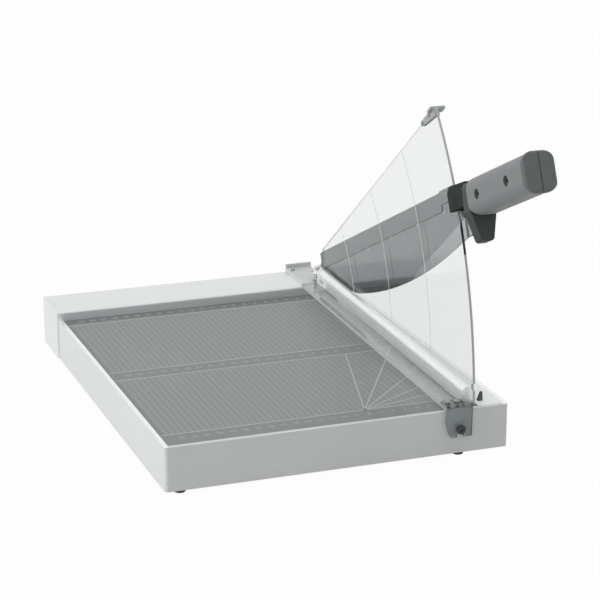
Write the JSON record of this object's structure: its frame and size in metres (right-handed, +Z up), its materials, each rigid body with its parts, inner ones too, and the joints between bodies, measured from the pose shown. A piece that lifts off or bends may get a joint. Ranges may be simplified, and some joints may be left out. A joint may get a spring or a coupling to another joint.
{
  "type": "paper cutter",
  "caption": "Desk guillotine for paper: flat base with a lined mat, backstop bar, clear clamp and finger guard, and a hinged blade arm with a grip.",
  "frame": {"origin": "centre of the front left foot's contact face", "axes": "+X to the right along the front edge, +Y to the back along the cut, +Z up"},
  "size_m": [0.2793, 0.4799, 0.2618],
  "materials": {
    "base_paint": "fine matt powder coat, pale grey",
    "floor_paint": "satin dark grey coat",
    "deck_paint": "satin pale grey coat",
    "dark_rubber": "matt rubber",
    "board": "plain fibreboard",
    "mat": "grained grey mat with printed lines",
    "extrusion": "satin anodised",
    "polished_aluminium": "polished",
    "knife_steel": "ground along its length",
    "blade_steel": "fine ground, nearly polished",
    "zinc_steel": "bright zinc",
    "cover_steel": "satin grey",
    "spring_steel": "bright wire",
    "bronze": "oiled bearing bronze",
    "lever_paint": "satin grey coat",
    "spine_plastic": "moulded grey",
    "grip_plastic": "fine grained, mid grey",
    "dark_plastic": "fine grained, dark grey",
    "clear_acrylic": "clear, polished faces",
    "smoke_acrylic": "smoke tinted, clear",
    "end_plastic": "moulded pale grey",
    "black_screw": "black oxide"
  },
  "bodies": {
    "base": {"base_frame": "base_paint", "base_floor": "floor_paint", "floor_screws": "zinc_steel", "feet": "dark_rubber", "table_board": "board", "cutting_mat": "mat", "cut_rail": "extrusion", "lower_knife": "knife_steel", "knife_screw_set": "zinc_steel", "right_deck": "deck_paint", "blade_stop": "dark_rubber", "backstop_bar": "extrusion", "bar_cap": "extrusion", "pivot_block": "zinc_steel", "block_screws": "zinc_steel", "pivot_cover": "cover_steel", "cover_screw": "zinc_steel", "pivot_bolt": "zinc_steel", "thrust_washer": "bronze", "outer_washer": "zinc_steel", "disc_springs": "spring_steel", "pivot_nut": "zinc_steel", "lug_screw": "black_screw", "guide_screw": "black_screw", "lift_spring": "spring_steel"},
    "arm": {"lever": "lever_paint", "pivot_bush": "bronze", "blade": "blade_steel", "blade_screw_set": "zinc_steel", "tip_screw": "black_screw", "spine_channel": "spine_plastic", "arm_neck": "spine_plastic", "head_block": "dark_plastic", "head_screws": "zinc_steel", "hand_guard": "dark_plastic", "grip_left": "grip_plastic", "grip_right": "grip_plastic", "grip_screws": "black_screw", "end_cap": "dark_plastic"},
    "clamp": {"clamp_strip": "clear_acrylic", "front_lug": "smoke_acrylic", "lug_rivets": "black_screw", "clamp_beam": "polished_aluminium", "beam_screws": "zinc_steel", "beam_end": "end_plastic", "beam_end_screws": "zinc_steel", "blade_guard": "clear_acrylic", "guard_screws": "black_screw", "guard_stop": "polished_aluminium", "stop_rivets": "zinc_steel"}
  },
  "joints": [
    {"name": "arm_pivot", "type": "hinge", "parent": "base", "child": "arm", "pos_m": [0.2408, 0.34175, 0.0259], "axis": [-1, 0, 0], "range_deg": [-20.6, 8.5]},
    {"name": "clamp_hinge", "type": "hinge", "parent": "base", "child": "clamp", "pos_m": [0.23, -0.009, 0.0395], "axis": [1, 0, 0], "range_deg": [-1.35, 0], "stiffness_Nm_per_rad": 4.2, "springref_deg": 6.13, "deforming": ["lift_spring"]}
  ]
}
